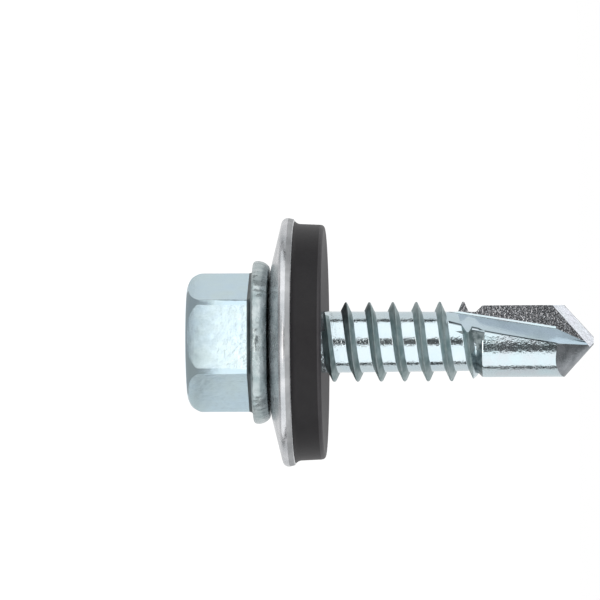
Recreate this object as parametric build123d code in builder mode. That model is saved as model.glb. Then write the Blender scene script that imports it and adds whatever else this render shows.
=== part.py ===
from build123d import *
import os
from math import cos, radians, sin, tan

os.makedirs("parts", exist_ok=True)

# Driving dimensions in millimetres, angles in degrees.
# The screw stands on its head: Z runs up from the rim of the head's top to the drill's tip.

# Hexagon of the head
hex_across_flats = 9.53
hex_height = 5.12
hex_corner_round = 0.55
hex_turn = -6.0
crown_rim_radius = 4.35
crown_bevel_radius = 4.85
crown_bevel_height = 0.20
crown_shoulder_radius = 5.16
crown_shoulder_height = 0.65
crown_height = 3.20
recess_mouth_radius = 3.50
recess_floor_radius = 2.88
recess_depth = 0.80

# Flange of the head
flange_diameter = 12.69
flange_thickness = 1.25
flange_draft = 0.12
flange_chamfer = 0.22

# Shank, measured from the bearing face of the flange
shank_length = 25.10
neck_diameter = 5.40
neck_length = 3.48
neck_taper_length = 0.45
core_diameter = 4.80
core_end_diameter = 4.60

# Spaced thread, right hand
thread_diameter = 6.17
thread_pitch = 1.82
thread_flank_angle = 30.0
thread_fade = 0.75
first_crest_height = 5.0

# Drill point
drill_diameter = 5.58
drill_length = 9.10
drill_shoulder_length = 0.50
point_half_angle = 48.5
point_flat_radius = 0.30
lip_relief_angle = 9.0
lip_face_width = 0.73
lip_face_tilt = 10.0

# Two flutes, opposite each other
flute_lead_in = 2.25
flute_start_web = 2.08
flute_corner_web = 0.97
flute_wall_angle = 24.6
flute_round = 0.28
web_thickness = 0.50
gash_above_corner = 0.70
gash_angle = 25.0

# Ramp that carries each land's trailing side down to the core
ramp_length = 2.10
ramp_start_angle = 70.0
ramp_end_angle = 107.0

# Dished steel washer
washer_gap = 0.03
washer_plate = 0.95
washer_hole_clearance = 0.75
washer_flat_radius = 5.40
washer_dish_angle = 13.8
washer_diameter = 19.30
washer_top_chamfer = 0.27

# Rubber seal, vulcanised to the washer
seal_thickness = 2.40
seal_bore_clearance = 0.05
seal_inset = 0.46
seal_draft = 0.10
seal_flare = 0.20
seal_flare_height = 0.50
seal_chamfer = 0.24

# Heights and radii that follow from the sizes above, and a margin for cuts and joins
bearing_z = hex_height + flange_thickness
neck_radius = neck_diameter / 2
neck_end_z = bearing_z + neck_length
core_radius = core_diameter / 2
core_end_radius = core_end_diameter / 2
thread_radius = thread_diameter / 2
tip_z = bearing_z + shank_length
drill_start_z = tip_z - drill_length
drill_full_z = drill_start_z + drill_shoulder_length
drill_radius = drill_diameter / 2
point_slope = tan(radians(point_half_angle))
corner_z = tip_z - (drill_radius - point_flat_radius) / point_slope
apex_z = tip_z + point_flat_radius / point_slope
overlap = 0.30


# Envelope that draws the hexagon's corners in towards the top of the head
crown_radius = hex_across_flats / 2 / cos(radians(30))
with BuildPart() as crown:
    with BuildSketch(Plane.XZ):
        Polygon(
            (0, 0),
            (crown_rim_radius, 0),
            (crown_bevel_radius, crown_bevel_height),
            (crown_shoulder_radius, crown_shoulder_height),
            (crown_radius, crown_height),
            (crown_radius, bearing_z),
            (0, bearing_z),
            align=None,
        )
    revolve(axis=Axis.Z)

# Hexagon with rounded corners and drawn-in top
with BuildPart() as hexagon:
    with BuildSketch() as hex_plan:
        RegularPolygon(hex_across_flats / 2, 6, major_radius=False, rotation=hex_turn)
        fillet(hex_plan.vertices(), radius=hex_corner_round)
    extrude(amount=hex_height + overlap)
    add(crown.part, mode=Mode.INTERSECT)

# Recess pressed into the top of the head
with BuildPart() as recess:
    with BuildSketch(Plane.XZ):
        Polygon(
            (0, -overlap),
            (recess_mouth_radius, -overlap),
            (recess_mouth_radius, 0),
            (recess_floor_radius, recess_depth),
            (0, recess_depth),
            align=None,
        )
    revolve(axis=Axis.Z)

# Helical ridge of the thread, trimmed by an envelope that fades it out at both ends
ridge_inner_radius = core_end_radius - overlap
flank_slope = tan(radians(thread_flank_angle))
ridge_half_base = (thread_radius - ridge_inner_radius) * flank_slope
turns_below = int((bearing_z + first_crest_height - neck_end_z) / thread_pitch) + 1
ridge_start_z = bearing_z + first_crest_height - turns_below * thread_pitch
ridge_height = drill_full_z - ridge_start_z
with BuildPart() as thread:
    with BuildLine():
        Helix(thread_pitch, ridge_height, core_radius, center=(0, 0, ridge_start_z))
    with BuildSketch(Plane.XZ):
        Polygon(
            (ridge_inner_radius, ridge_start_z - ridge_half_base),
            (thread_radius, ridge_start_z),
            (ridge_inner_radius, ridge_start_z + ridge_half_base),
            align=None,
        )
    sweep(is_frenet=True)
    with BuildSketch(Plane.XZ):
        Polygon(
            (0, neck_end_z),
            (neck_radius, neck_end_z),
            (thread_radius + overlap, neck_end_z + thread_fade),
            (thread_radius + overlap, drill_start_z - thread_fade),
            (core_end_radius, drill_full_z),
            (0, drill_full_z),
            align=None,
        )
    revolve(axis=Axis.Z, mode=Mode.INTERSECT)

# Drill point: a cylinder whose end is backed off behind each of its two lips
lip_angle = radians(lip_relief_angle)
lip_plane = Plane(
    origin=(0, 0, apex_z),
    x_dir=(1, 0, 0),
    z_dir=(0, -sin(lip_angle), cos(lip_angle)),
)
flank_depth = drill_length + overlap
with BuildPart() as flank:
    with Locations(lip_plane):
        Cone(
            bottom_radius=flank_depth * point_slope,
            top_radius=0,
            height=flank_depth,
            align=(Align.CENTER, Align.CENTER, Align.MAX),
        )
    split(bisect_by=Plane.XZ, keep=Keep.TOP)

with BuildPart() as both_flanks:
    with PolarLocations(0, 2):
        add(flank.part)

with BuildPart() as drill:
    with BuildSketch(Plane.XZ):
        Polygon(
            (0, drill_start_z - overlap),
            (core_end_radius, drill_start_z - overlap),
            (core_end_radius, drill_start_z),
            (drill_radius, drill_full_z),
            (drill_radius, tip_z),
            (0, tip_z),
            align=None,
        )
    revolve(axis=Axis.Z)
    add(both_flanks.part, mode=Mode.INTERSECT)

# Ramp on the trailing side of each land, where the pinched blank rises out of the core
ramp_foot = Vector(core_end_radius, 0, drill_full_z - ramp_length).rotate(Axis.Z, ramp_start_angle)
ramp_end = Vector(core_end_radius, 0, drill_start_z).rotate(Axis.Z, ramp_end_angle)
ramp_top = Vector(drill_radius, 0, drill_full_z).rotate(Axis.Z, ramp_start_angle)
ramp_across = ramp_end - ramp_foot
with BuildPart() as ramp:
    with BuildSketch(Plane.XY.offset(ramp_foot.Z)):
        with BuildLine():
            spoke = PolarLine((0, 0), drill_radius, ramp_start_angle)
            turn = CenterArc((0, 0), drill_radius, ramp_start_angle, arc_size=ramp_end_angle - ramp_start_angle)
            Line(turn @ 1, spoke @ 0)
        make_face()
    extrude(amount=ramp_length)
    split(
        bisect_by=Plane(ramp_foot, x_dir=ramp_across, z_dir=ramp_across.cross(ramp_top - ramp_foot)),
        keep=Keep.BOTTOM,
    )

# Wedge that cuts one flute: a flat lip side and a leaning wall, deeper towards the tip
web_slope = (flute_start_web - flute_corner_web) / (corner_z - drill_start_z)
flute_start_z = drill_start_z - flute_lead_in
flute_start_x = flute_start_web + web_slope * flute_lead_in
wall_slope = tan(radians(flute_wall_angle))
gash_slope = tan(radians(gash_angle))
gash_start_z = corner_z - gash_above_corner
gash_start_x = flute_corner_web + web_slope * gash_above_corner
reach = drill_diameter
web_half = web_thickness / 2


def flute_wedge(bottom_x, bottom_z, slope, bottom_round):
    """Sketch the wedge at one height and run it along its sloping bottom line."""
    with BuildSketch(Plane.XY.offset(bottom_z)) as wedge:
        Polygon(
            (bottom_x, web_half),
            (bottom_x + reach, web_half),
            (bottom_x + reach, web_half + reach),
            (bottom_x - wall_slope * reach, web_half + reach),
            align=None,
        )
        if bottom_round:
            bottom = wedge.vertices().sort_by_distance((bottom_x, web_half, bottom_z))[0]
            fillet(bottom, radius=bottom_round)
    extrude(wedge.sketch, amount=reach + drill_length, dir=(-slope, 0, 1))


with BuildPart() as flute:
    flute_wedge(flute_start_x, flute_start_z, web_slope, flute_round)
    flute_wedge(gash_start_x, gash_start_z, gash_slope, 0)

# Bevel along the lip, a shallow wedge in the flat side of the flute
lip_direction = (-sin(radians(point_half_angle)), 0, cos(radians(point_half_angle)))
lip_outward = (cos(radians(point_half_angle)), 0, sin(radians(point_half_angle)))
lip_start = Vector(drill_radius, web_half, corner_z) - Vector(*lip_direction)
bevel_reach = lip_face_width + overlap
with BuildPart() as lip_bevel:
    with BuildSketch(Plane(origin=lip_start, x_dir=lip_outward, z_dir=lip_direction)):
        Polygon(
            (-lip_face_width, 0),
            (overlap, 0),
            (overlap, -bevel_reach * tan(radians(lip_face_tilt))),
            align=None,
        )
    extrude(amount=drill_diameter)

# Screw: head, neck, tapered core, thread and drill point in one piece of steel
with BuildPart() as screw:
    add(hexagon.part)
    with BuildSketch(Plane.XZ) as flange_section:
        Polygon(
            (0, hex_height),
            (flange_diameter / 2, hex_height),
            (flange_diameter / 2 - flange_draft, bearing_z),
            (0, bearing_z),
            align=None,
        )
        rim = flange_section.vertices().group_by(Axis.X)[1:]
        chamfer([vertex for group in rim for vertex in group], length=flange_chamfer)
    revolve(axis=Axis.Z)
    add(recess.part, mode=Mode.SUBTRACT)
    with BuildSketch(Plane.XZ):
        Polygon(
            (0, bearing_z - overlap),
            (neck_radius, bearing_z - overlap),
            (neck_radius, neck_end_z),
            (core_radius, neck_end_z + neck_taper_length),
            (core_end_radius, drill_start_z),
            (0, drill_start_z),
            align=None,
        )
    revolve(axis=Axis.Z)
    add(thread.part)
    add(drill.part)
    with PolarLocations(0, 2):
        add(ramp.part)
    with PolarLocations(0, 2):
        add(flute.part, mode=Mode.SUBTRACT)
    with PolarLocations(0, 2):
        add(lip_bevel.part, mode=Mode.SUBTRACT)

screw.part.label = "screw"
export_step(screw.part, "parts/screw.step")

# Steel washer: flat under the flange, then dished towards the tip
dish = radians(washer_dish_angle)
washer_hole = neck_radius + washer_hole_clearance
washer_z = bearing_z + washer_gap
plate_z = washer_z + washer_plate
plate_edge = washer_diameter / 2 + washer_top_chamfer * sin(dish)
plate_edge_z = washer_z + (plate_edge - washer_flat_radius) * tan(dish)
plate_bend = washer_flat_radius - washer_plate * tan(dish / 2)
with BuildPart() as steel_washer:
    with BuildSketch(Plane.XZ) as plate_section:
        Polygon(
            (washer_hole, washer_z),
            (washer_flat_radius, washer_z),
            (plate_edge, plate_edge_z),
            (plate_edge - washer_plate * sin(dish), plate_edge_z + washer_plate * cos(dish)),
            (plate_bend, plate_z),
            (washer_hole, plate_z),
            align=None,
        )
        chamfer(plate_section.vertices().sort_by(Axis.X)[-1], length=washer_top_chamfer)
    revolve(axis=Axis.Z)

steel_washer.part.label = "steel_washer"
export_step(steel_washer.part, "parts/steel_washer.step")

# Rubber seal: follows the underside of the plate, with a lip where it meets the steel
seal_radius = washer_diameter / 2 - seal_inset
seal_lip_radius = seal_radius + seal_flare
seal_bore = neck_radius + seal_bore_clearance
seal_face_z = plate_z + seal_thickness
seal_bend = washer_flat_radius - (washer_plate + seal_thickness) * tan(dish / 2)
seal_rim = seal_radius - seal_draft
with BuildPart() as rubber_seal:
    with BuildSketch(Plane.XZ) as seal_section:
        Polygon(
            (seal_bore, plate_z),
            (plate_bend, plate_z),
            (seal_lip_radius, plate_z + (seal_lip_radius - plate_bend) * tan(dish)),
            (seal_radius, plate_z + (seal_radius - plate_bend) * tan(dish) + seal_flare_height),
            (seal_rim, seal_face_z + (seal_rim - seal_bend) * tan(dish)),
            (seal_bend, seal_face_z),
            (seal_bore, seal_face_z),
            align=None,
        )
        rim_corner = seal_section.vertices().sort_by(Axis.Y)[-1]
        chamfer(rim_corner, length=seal_chamfer)
    revolve(axis=Axis.Z)

rubber_seal.part.label = "rubber_seal"
export_step(rubber_seal.part, "parts/rubber_seal.step")
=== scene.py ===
# %% [markdown]
# A self-drilling roofing screw with its sealing washer, dressed for a studio picture. The real thing is
# three pieces: a zinc-plated screw that was cold-headed, thread-rolled and pinched to a drill point, a
# dished washer of galvanised sheet, and a rubber ring that is vulcanised to it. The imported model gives
# their places and sizes. This lesson models each one again with round edges and a fine thread, gives it
# its finish, and lights it.

# %% Load the frame
import random
from math import atan2, cos, degrees, hypot, pi, radians, sin, tan

import bmesh
import bpy
from mathutils import Matrix, Vector


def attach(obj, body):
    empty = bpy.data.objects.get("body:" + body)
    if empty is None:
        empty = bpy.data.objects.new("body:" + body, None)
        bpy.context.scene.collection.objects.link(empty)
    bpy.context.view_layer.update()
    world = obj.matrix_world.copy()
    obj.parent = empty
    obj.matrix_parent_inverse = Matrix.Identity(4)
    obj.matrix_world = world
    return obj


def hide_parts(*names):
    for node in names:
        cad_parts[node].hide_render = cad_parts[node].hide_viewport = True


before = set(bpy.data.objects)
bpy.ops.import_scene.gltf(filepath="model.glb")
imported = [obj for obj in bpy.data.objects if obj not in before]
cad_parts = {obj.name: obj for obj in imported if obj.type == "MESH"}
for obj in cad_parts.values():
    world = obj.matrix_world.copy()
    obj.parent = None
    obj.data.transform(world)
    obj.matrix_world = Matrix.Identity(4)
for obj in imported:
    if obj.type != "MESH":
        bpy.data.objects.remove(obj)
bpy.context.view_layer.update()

# %% [markdown]
# The sizes come first. A maker thinks of a screw in millimetres, so everything is modelled in them, and
# a finished mesh is scaled to metres at the end. That also keeps the cutting tools accurate: they dislike
# shapes that are only a few thousandths across. Z runs from the rim of the head's top to the drill's tip.

# %% Sizes of the head and the shank
MM = 0.001
HEX_ACROSS_FLATS = 9.53
HEX_HEIGHT = 5.12
HEX_CORNER_ROUND = 0.55
HEX_TURN = radians(-6)
RECESS_DEPTH = 0.80
RECESS_FLOOR_RADIUS = 2.88
RECESS_MOUTH_RADIUS = 3.50
FLANGE_RADIUS = 6.345
BEARING_Z = 6.37
NECK_RADIUS = 2.70
NECK_END_Z = 9.85
NECK_TAPER = 0.45
CORE_RADIUS = 2.40
CORE_END_RADIUS = 2.30
THREAD_RADIUS = 3.085
THREAD_PITCH = 1.82
THREAD_CREST_Z = 11.37
THREAD_FLANK = radians(30)
THREAD_START_Z = 10.60
THREAD_FADE = 0.60
RUN_OUT_FADE = 0.75

# %% [markdown]
# The drill is given as its maker would give it: a diameter, a point angle, how far each face is backed off
# behind its lip, and how the flute's bottom line climbs. The heights of the lip's corner and of the cones'
# common tip follow from those, so they are worked out and not typed in.

# %% Sizes of the drill point
TIP_Z = 31.47
DRILL_START_Z = 22.37
DRILL_FULL_Z = 22.87
DRILL_RADIUS = 2.79
POINT_HALF_ANGLE = radians(48.5)
POINT_FLAT_RADIUS = 0.30
LIP_RELIEF = radians(9)
LIP_FACE_WIDTH = 0.73
LIP_FACE_TILT = radians(10)
WEB_HALF = 0.25
FLUTE_LEAD_IN = 2.25
FLUTE_START_WEB = 1.97
FLUTE_CORNER_WEB = 0.86
FLUTE_WALL_ANGLE = radians(26)
FLUTE_ROUND = 0.28
GASH_ABOVE_CORNER = 0.70
GASH_ANGLE = radians(25)
RAMP_LENGTH = 2.10
RAMP_START_ANGLE = radians(70)
RAMP_END_ANGLE = radians(107)
CORNER_Z = TIP_Z - (DRILL_RADIUS - POINT_FLAT_RADIUS) / tan(POINT_HALF_ANGLE)
APEX_Z = TIP_Z + POINT_FLAT_RADIUS / tan(POINT_HALF_ANGLE)

# %% [markdown]
# The washer is a flat disc that was dished by 13.8 degrees, and the seal has the same slope. One angle
# serves both, so the rubber can't drift away from the steel.

# %% Sizes of the washer and the seal
DISH = radians(13.8)
PLATE = 0.95
PLATE_TOP_Z = 6.40
PLATE_HOLE_RADIUS = 3.45
PLATE_FLAT_RADIUS = 5.40
PLATE_RADIUS = 9.65
PLATE_EDGE_ROUND = 0.45
SEAL_THICKNESS = 2.40
SEAL_BORE_RADIUS = 2.75
SEAL_RADIUS = 9.19
SEAL_FLARE = 0.20
SEAL_FLARE_HEIGHT = 0.30
SEAL_DRAFT = 0.10
SEAL_EDGE_ROUND = 0.40

# %% [markdown]
# Most of this object was turned or pressed round, so its main tool is a lathe: draw half a section as a
# wire, round its corners, and spin it about the axis. Rounding the wire's corners before the spin is
# cheaper and cleaner than a bevel afterwards, because each corner then becomes one smooth ring.

# %% Draw a section and spin it
def round_corners(bm, corners, tangent, segments):
    """Round points of a wire or of a flat face. tangent is the length that each side loses."""
    bmesh.ops.bevel(
        bm,
        geom=corners,
        offset=tangent,
        segments=segments,
        profile=0.5,
        affect="VERTICES",
        material=-1,
    )


def draw_section(bm, points, rounds, closed=False, segments=6):
    """Wire through (radius, height) points. rounds maps a corner's number to its tangent length."""
    corners = [bm.verts.new((radius, 0, height)) for radius, height in points]
    ends = corners[1:] + corners[:1] if closed else corners[1:]
    for start, end in zip(corners, ends):
        bm.edges.new((start, end))
    for number, length in rounds.items():
        round_corners(bm, [corners[number]], length, segments)


def spin(bm, parts, angle, steps, climb=0, merge=False):
    """Spin parts of a mesh about the Z axis. climb is the rise in each step."""
    bmesh.ops.spin(
        bm,
        geom=parts,
        cent=(0, 0, 0),
        axis=(0, 0, 1),
        dvec=(0, 0, climb),
        angle=angle,
        steps=steps,
        use_merge=merge,
    )


def clean(bm, reach=1e-4):
    """Weld what coincides and turn every face outwards."""
    bmesh.ops.remove_doubles(bm, verts=bm.verts, dist=reach)
    bmesh.ops.recalc_face_normals(bm, faces=bm.faces)


def make_object(name, bm):
    """Turn a bmesh into an object that stands at the origin."""
    mesh = bpy.data.meshes.new(name)
    bm.to_mesh(mesh)
    bm.free()
    made = bpy.data.objects.new(name, mesh)
    bpy.context.scene.collection.objects.link(made)
    return made


def lathe(name, points, rounds, steps=192, closed=False):
    """Spin a section into a closed solid. It starts and ends on the axis, or is a closed ring."""
    bm = bmesh.new()
    draw_section(bm, points, rounds, closed)
    spin(bm, bm.verts[:] + bm.edges[:], 2 * pi, steps, merge=True)
    clean(bm)
    return make_object(name, bm)


# %% [markdown]
# The screw itself isn't round all over: its head was struck in a hexagonal die, and its point was pinched
# and cut. Those shapes are made the way a toolmaker thinks of them, as blanks and cutters that are
# added and subtracted. The Boolean modifier's exact solver does that, and its result is baked at once.

# %% Add, cut and intersect solids
def combine(blank, tool, how):
    """Apply one Boolean to the blank and throw the tool away. how is UNION, DIFFERENCE or INTERSECT."""
    step = blank.modifiers.new(how, "BOOLEAN")
    step.operation = how
    step.object = tool
    step.solver = "EXACT"
    graph = bpy.context.evaluated_depsgraph_get()
    result = bpy.data.meshes.new_from_object(blank.evaluated_get(graph))
    blank.modifiers.clear()
    blank.data = result
    bpy.data.objects.remove(tool)
    return blank


def edit(piece, change):
    """Open a piece's mesh, change it with a function, and close it again."""
    bm = bmesh.new()
    bm.from_mesh(piece.data)
    change(bm)
    bm.to_mesh(piece.data)
    bm.free()
    return piece


def push(bm, way):
    """Extrude the faces of a flat outline along a vector."""
    grown = bmesh.ops.extrude_face_region(bm, geom=bm.faces[:])
    moved = [item for item in grown["geom"] if isinstance(item, bmesh.types.BMVert)]
    bmesh.ops.translate(bm, verts=moved, vec=way)


def cut_away(bm, at, outwards):
    """Remove what lies on the outward side of a plane. The cut stays open."""
    bmesh.ops.bisect_plane(
        bm,
        geom=bm.verts[:] + bm.edges[:] + bm.faces[:],
        dist=1e-5,
        plane_co=at,
        plane_no=outwards,
        clear_outer=True,
    )


def count(piece):
    """Say how large a mesh is and whether it is closed."""
    bm = bmesh.new()
    bm.from_mesh(piece.data)
    open_edges = sum(1 for edge in bm.edges if len(edge.link_faces) != 2)
    triangles = sum(len(face.verts) - 2 for face in bm.faces)
    bm.free()
    print(f"{piece.name}: {triangles} triangles, {open_edges} open edges")


# %% [markdown]
# The steel washer was blanked and dished in a press. Its middle stays flat under the flange, and its edge
# is rolled over by the blanking die, so the upper corner is round and the lower one nearly sharp.

# %% Steel washer
RING_STEPS = 288
PLATE_HOLE_ROUND = 0.12
PLATE_BEND_ROUND = 0.90
PLATE_LOWER_ROUND = 0.18
plate_edge = PLATE_RADIUS + PLATE_EDGE_ROUND * (cos(DISH) + sin(DISH) - 1)
plate_edge_z = PLATE_TOP_Z + (plate_edge - PLATE_FLAT_RADIUS) * tan(DISH)
plate_bottom_z = PLATE_TOP_Z + PLATE
plate_bend = PLATE_FLAT_RADIUS - PLATE * tan(DISH / 2)
steel_plate = lathe(
    "washer_plate",
    [
        (PLATE_HOLE_RADIUS, PLATE_TOP_Z),
        (PLATE_FLAT_RADIUS, PLATE_TOP_Z),
        (plate_edge, plate_edge_z),
        (plate_edge - PLATE * sin(DISH), plate_edge_z + PLATE * cos(DISH)),
        (plate_bend, plate_bottom_z),
        (PLATE_HOLE_RADIUS, plate_bottom_z),
    ],
    {0: PLATE_HOLE_ROUND, 1: PLATE_BEND_ROUND, 2: PLATE_EDGE_ROUND, 3: PLATE_LOWER_ROUND},
    steps=RING_STEPS,
    closed=True,
)
count(steel_plate)

# %% [markdown]
# The rubber ring was moulded onto the plate, so it follows the plate's underside and flares where it
# meets the steel. Its rim is round, because rubber fills a mould's corner badly.

# %% Rubber seal
SEAL_BORE_ROUND = 0.12
SEAL_BEND_ROUND = 0.50
SEAL_FLARE_ROUND = 0.16
SEAL_LIP_ROUND = 0.04
seal_lip = SEAL_RADIUS + SEAL_FLARE
seal_rim = SEAL_RADIUS - SEAL_DRAFT
seal_face_z = plate_bottom_z + SEAL_THICKNESS
seal_bend = PLATE_FLAT_RADIUS - (PLATE + SEAL_THICKNESS) * tan(DISH / 2)
plate_slope = tan(DISH)
seal_ring = lathe(
    "seal_ring",
    [
        (SEAL_BORE_RADIUS, plate_bottom_z),
        (plate_bend, plate_bottom_z),
        (seal_lip, plate_bottom_z + (seal_lip - plate_bend) * plate_slope),
        (SEAL_RADIUS, plate_bottom_z + (SEAL_RADIUS - plate_bend) * plate_slope + SEAL_FLARE_HEIGHT),
        (seal_rim, seal_face_z + (seal_rim - seal_bend) * plate_slope),
        (seal_bend, seal_face_z),
        (SEAL_BORE_RADIUS, seal_face_z),
    ],
    {
        2: SEAL_LIP_ROUND,
        3: SEAL_FLARE_ROUND,
        4: SEAL_EDGE_ROUND,
        5: SEAL_BEND_ROUND,
        6: SEAL_BORE_ROUND,
    },
    steps=RING_STEPS,
    closed=True,
)
count(seal_ring)

# %% [markdown]
# The head starts as a turned blank with the recess in its top and a bulging crown. Intersecting it with a
# hexagonal bar gives the six flats their curved ends, just as the die does.

# %% Turned blank of the head
CROWN_CURVE = ((4.35, 0), (4.89, 0.22), (5.27, 0.64))
CROWN_HEIGHT = 1.45
CROWN_ROUNDS = {3: 0.12, 4: 0.22, 5: 0.34}
RECESS_ROUNDS = {1: 0.22, 2: 0.16}
OVERLAP = 0.45
crown_reach = HEX_ACROSS_FLATS / 2 / cos(radians(30))
head_blank = lathe(
    "head_blank",
    [
        (0, RECESS_DEPTH),
        (RECESS_FLOOR_RADIUS, RECESS_DEPTH),
        (RECESS_MOUTH_RADIUS, 0),
        *CROWN_CURVE,
        (crown_reach, CROWN_HEIGHT),
        (crown_reach + OVERLAP, CROWN_HEIGHT + OVERLAP),
        (crown_reach + OVERLAP, HEX_HEIGHT + OVERLAP),
        (0, HEX_HEIGHT + OVERLAP),
    ],
    {**RECESS_ROUNDS, **CROWN_ROUNDS},
)
count(head_blank)

# %% [markdown]
# The bar's six corners are rounded while it is still a flat outline, because a bevel of six points can't go
# wrong. Then the face is extruded into a bar that is longer than the blank at both ends.

# %% Hexagonal bar that trims it
BAR_MARGIN = 1


def hexagon_bar():
    """Bar that stands past both ends of the blank. A circle starts at +Y, so it is turned back."""
    bm = bmesh.new()
    turn = Matrix.Rotation(HEX_TURN - radians(30), 4, "Z")
    bmesh.ops.create_circle(bm, cap_ends=True, segments=6, radius=crown_reach, matrix=turn)
    round_corners(bm, bm.verts[:], HEX_CORNER_ROUND * tan(radians(30)), 8)
    bmesh.ops.translate(bm, verts=bm.verts, vec=(0, 0, -BAR_MARGIN))
    push(bm, (0, 0, HEX_HEIGHT + OVERLAP + 2 * BAR_MARGIN))
    clean(bm)
    return make_object("hexagon_bar", bm)


head = combine(head_blank, hexagon_bar(), "INTERSECT")
head.name = "forged_screw"
count(head)

# %% [markdown]
# The flange is a round plate with a rim that the die squeezed out. Seen end on, its rim carries some
# sixty small dents, uneven as a worn die leaves them. They are real shape here, so the flange is
# spun in fine steps and each ring's points are drawn in a little by a repeatable pattern.

# %% Flange
DENTS = 64
STEPS_PER_DENT = 9
FLANGE_EDGE_IN = 0.10
FLANGE_BEARING_IN = 0.45
FLANGE_WIDEST = 0.32
FLANGE_FULL = 0.85
flange = lathe(
    "flange",
    [
        (0, HEX_HEIGHT),
        (FLANGE_RADIUS - FLANGE_EDGE_IN, HEX_HEIGHT),
        (FLANGE_RADIUS, HEX_HEIGHT + FLANGE_WIDEST),
        (FLANGE_RADIUS - FLANGE_EDGE_IN, HEX_HEIGHT + FLANGE_FULL),
        (FLANGE_RADIUS - FLANGE_BEARING_IN, BEARING_Z),
        (0, BEARING_Z),
    ],
    {1: 0.14, 2: 0.16, 3: 0.22, 4: 0.14},
    steps=DENTS * STEPS_PER_DENT,
)
count(flange)

# %% Dents round its rim
DENT_DEPTH = 0.035
DENT_REACH_RADIUS = 5.7
dent_random = random.Random(14)
dent_depths = [DENT_DEPTH * dent_random.uniform(0.15, 1) for _ in range(DENTS)]
dent_shifts = [dent_random.uniform(-0.25, 0.25) for _ in range(DENTS)]


def dent_at(angle):
    """Depth of the rim's dents at one angle."""
    place = angle / (2 * pi) * DENTS % DENTS
    number = int(place) % DENTS
    offset = (place - int(place) - 0.5 - dent_shifts[number]) * 2
    return dent_depths[number] * max(0, 1 - offset * offset) ** 2


def dent_rim(bm):
    """Draw the rim in by its dents, and the face inside it by less and less."""
    for vert in bm.verts:
        radius = hypot(vert.co.x, vert.co.y)
        share = max(0, (radius - DENT_REACH_RADIUS) / (FLANGE_RADIUS - DENT_REACH_RADIUS))
        if share:
            scale = 1 - share * dent_at(atan2(vert.co.y, vert.co.x)) / radius
            vert.co.x *= scale
            vert.co.y *= scale


edit(flange, dent_rim)
combine(head, flange, "UNION")
count(head)


# %% [markdown]
# Forging leaves no sharp inner corner: the flats meet the flange in a small fillet, and in the photo it
# reads as a dark groove. After the union the corner's edges are the only steep ones at that height, so
# they can be picked by their angle and their place, and a bevel in six steps rounds them.

# %% Fillet at the hexagon's root
def sharp_edges(bm, least, test):
    """Edges whose faces meet at more than the least angle and whose two ends pass the test."""
    return [
        edge
        for edge in bm.edges
        if len(edge.link_faces) == 2
        and edge.calc_face_angle(0) > least
        and all(test(vert.co) for vert in edge.verts)
    ]


ROOT_FILLET = 0.34
ROOT_REACH = 5.6


def soften_head(bm):
    """Round the corner between the hexagon and the flange, which lies inside the root's reach."""
    clean(bm)
    level = 0.02
    root = sharp_edges(
        bm,
        radians(30),
        lambda at: abs(at.z - HEX_HEIGHT) < level and hypot(at.x, at.y) < ROOT_REACH,
    )
    print("root edges:", len(root))
    bmesh.ops.bevel(
        bm,
        geom=root,
        offset=ROOT_FILLET,
        segments=6,
        profile=0.5,
        affect="EDGES",
        material=-1,
    )
    clean(bm)


edit(head, soften_head)
count(head)

# %% [markdown]
# The thread was rolled between flat dies. One pitch of its section, spun about the axis with a climb of
# one pitch a turn, closes against its own next turn, so the whole threaded rod is a single skin with no
# cuts in it. Its roots and crest are rounded in the section.

# %% Where the core and the ridge end
RUN_OUT_MARGIN = 0.3


def core_at(height):
    """Radius of the tapering core."""
    share = (height - NECK_END_Z) / (DRILL_START_Z - NECK_END_Z)
    return CORE_RADIUS + (CORE_END_RADIUS - CORE_RADIUS) * min(1, max(0, share))


def ridge_limit(height):
    """Radius at which the ridge fades out, at the neck and at the drill."""
    start = CORE_RADIUS + (height - THREAD_START_Z) * (THREAD_RADIUS - CORE_RADIUS) / THREAD_FADE
    run_out = DRILL_FULL_Z - DRILL_START_Z + RUN_OUT_FADE
    rise = THREAD_RADIUS + RUN_OUT_MARGIN - CORE_END_RADIUS
    end = CORE_END_RADIUS + (DRILL_FULL_Z - height) * rise / run_out
    return min(start, end)


print("core, in mm:", round(core_at(NECK_END_Z), 3), "to", round(core_at(DRILL_START_Z), 3))

# %% One pitch of the thread, spun with a climb
TURN_STEPS = 120
ROD_TURNS = 9
TURNS_BELOW_CREST = 2.5
CREST_ALLOWANCE = 0.13
CREST_ROUND = 0.23
ROOT_ROUND = 0.04
ROOT_MARGIN = 0.08
WELD = 2e-3
half_ridge = (THREAD_RADIUS - CORE_RADIUS) * tan(THREAD_FLANK)
rod_low = THREAD_CREST_Z - TURNS_BELOW_CREST * THREAD_PITCH
ridge_middle = rod_low + THREAD_PITCH / 2


def spin_thread(bm):
    """Skin of the rod. The allowance on the crest is what its rounding takes off again."""
    draw_section(
        bm,
        [
            (CORE_RADIUS, rod_low),
            (CORE_RADIUS, ridge_middle - half_ridge - ROOT_MARGIN),
            (CORE_RADIUS, ridge_middle - half_ridge),
            (THREAD_RADIUS + CREST_ALLOWANCE, ridge_middle),
            (CORE_RADIUS, ridge_middle + half_ridge),
            (CORE_RADIUS, ridge_middle + half_ridge + ROOT_MARGIN),
            (CORE_RADIUS, rod_low + THREAD_PITCH),
        ],
        {2: ROOT_ROUND, 3: CREST_ROUND, 4: ROOT_ROUND},
        segments=5,
    )
    wire = bm.verts[:] + bm.edges[:]
    spin(bm, wire, 2 * pi * ROD_TURNS, TURN_STEPS * ROD_TURNS, climb=THREAD_PITCH / TURN_STEPS)
    clean(bm, WELD)


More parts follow.
